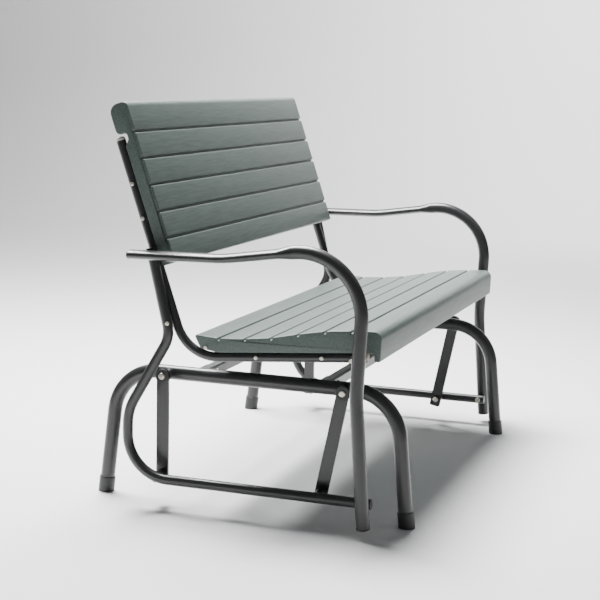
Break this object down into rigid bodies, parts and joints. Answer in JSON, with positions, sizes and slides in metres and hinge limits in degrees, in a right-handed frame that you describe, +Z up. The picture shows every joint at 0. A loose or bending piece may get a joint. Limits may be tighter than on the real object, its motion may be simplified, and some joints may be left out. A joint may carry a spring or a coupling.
{
  "type": "glider swing",
  "caption": "Two-seat glider bench: slatted seat and back boards on a bent-tube frame that swings on four flat links under a standing tube base.",
  "frame": {"origin": "on the floor at the middle of the four feet", "axes": "+Z up, +X along the bench, -Y towards the sitters' feet; left is -X as seen from in front"},
  "size_m": [1.1708, 0.7232, 0.8567],
  "materials": {
    "board_plastic": "moulded wood grain, slate green",
    "pale_cap_plastic": "satin",
    "rail_plug_plastic": "satin",
    "black_plastic": "satin",
    "bush_plastic": "satin",
    "zinc_steel": "zinc plated",
    "coated_tube": "charcoal powder coat, semi-gloss"
  },
  "bodies": {
    "base": {"base_cross_bolts": "zinc_steel", "base_cross_nuts": "zinc_steel", "base_cross_tube_front": "coated_tube", "base_cross_tube_rear": "coated_tube", "base_side_left": "coated_tube", "base_side_right": "coated_tube", "foot_cap_front_left": "black_plastic", "foot_cap_front_right": "black_plastic", "foot_cap_rear_left": "black_plastic", "foot_cap_rear_right": "black_plastic", "top_pivot_bolts": "zinc_steel"},
    "link_front_left": {"swing_link_front_left": "coated_tube", "top_bushes_front_left": "bush_plastic", "low_bushes_front_left": "bush_plastic"},
    "link_rear_left": {"swing_link_rear_left": "coated_tube", "top_bushes_rear_left": "bush_plastic", "low_bushes_rear_left": "bush_plastic"},
    "link_front_right": {"swing_link_front_right": "coated_tube", "top_bushes_front_right": "bush_plastic", "low_bushes_front_right": "bush_plastic"},
    "link_rear_right": {"swing_link_rear_right": "coated_tube", "top_bushes_rear_right": "bush_plastic", "low_bushes_rear_right": "bush_plastic"},
    "seat_frame": {"arm_plug_left": "black_plastic", "arm_plug_right": "black_plastic", "arm_tube_left": "coated_tube", "arm_tube_right": "coated_tube", "back_panel": "board_plastic", "back_panel_bolts": "zinc_steel", "back_panel_nuts": "zinc_steel", "crossing_bolts": "zinc_steel", "frame_joint_bolts": "zinc_steel", "leg_plug_left": "black_plastic", "leg_plug_right": "black_plastic", "leg_spacers": "black_plastic", "low_pivot_bolts": "zinc_steel", "lower_rail_plug_left": "black_plastic", "lower_rail_plug_right": "black_plastic", "rail_spacers": "black_plastic", "seat_back_tube_left": "coated_tube", "seat_back_tube_right": "coated_tube", "seat_corner_screws": "zinc_steel", "seat_cross_tube_front": "coated_tube", "seat_cross_tube_rear": "coated_tube", "seat_panel": "board_plastic", "seat_panel_bolts": "zinc_steel", "seat_panel_nuts": "zinc_steel", "seat_rail_plug_left": "rail_plug_plastic", "seat_rail_plug_right": "rail_plug_plastic", "side_tube_left": "coated_tube", "side_tube_right": "coated_tube", "stile_plug_left": "black_plastic", "stile_plug_right": "black_plastic", "upright_cap_left": "pale_cap_plastic", "upright_cap_right": "pale_cap_plastic"}
  },
  "joints": [
    {"name": "front_left_swing", "type": "hinge", "parent": "base", "child": "link_front_left", "pos_m": [-0.49, -0.211, 0.28], "axis": [1, 0, 0], "range_deg": [-12, 12]},
    {"name": "rear_left_swing", "type": "hinge", "parent": "base", "child": "link_rear_left", "pos_m": [-0.49, 0.191, 0.28], "axis": [1, 0, 0], "range_deg": [-12, 12]},
    {"name": "front_right_swing", "type": "hinge", "parent": "base", "child": "link_front_right", "pos_m": [0.49, -0.211, 0.28], "axis": [1, 0, 0], "range_deg": [-12, 12]},
    {"name": "rear_right_swing", "type": "hinge", "parent": "base", "child": "link_rear_right", "pos_m": [0.49, 0.191, 0.28], "axis": [1, 0, 0], "range_deg": [-12, 12]},
    {"name": "seat_pivot", "type": "hinge", "parent": "link_rear_left", "child": "seat_frame", "pos_m": [-0.49, 0.19, 0.067], "axis": [1, 0, 0], "range_deg": [-13.5, 13.5]}
  ],
  "couplings": [
    {"joint": "front_left_swing", "follows": "rear_left_swing", "ratio": 0.9993},
    {"joint": "front_right_swing", "follows": "rear_left_swing", "ratio": 0.9993},
    {"joint": "rear_right_swing", "follows": "rear_left_swing", "ratio": 1},
    {"joint": "seat_pivot", "follows": "rear_left_swing", "ratio": -1.1158}
  ]
}
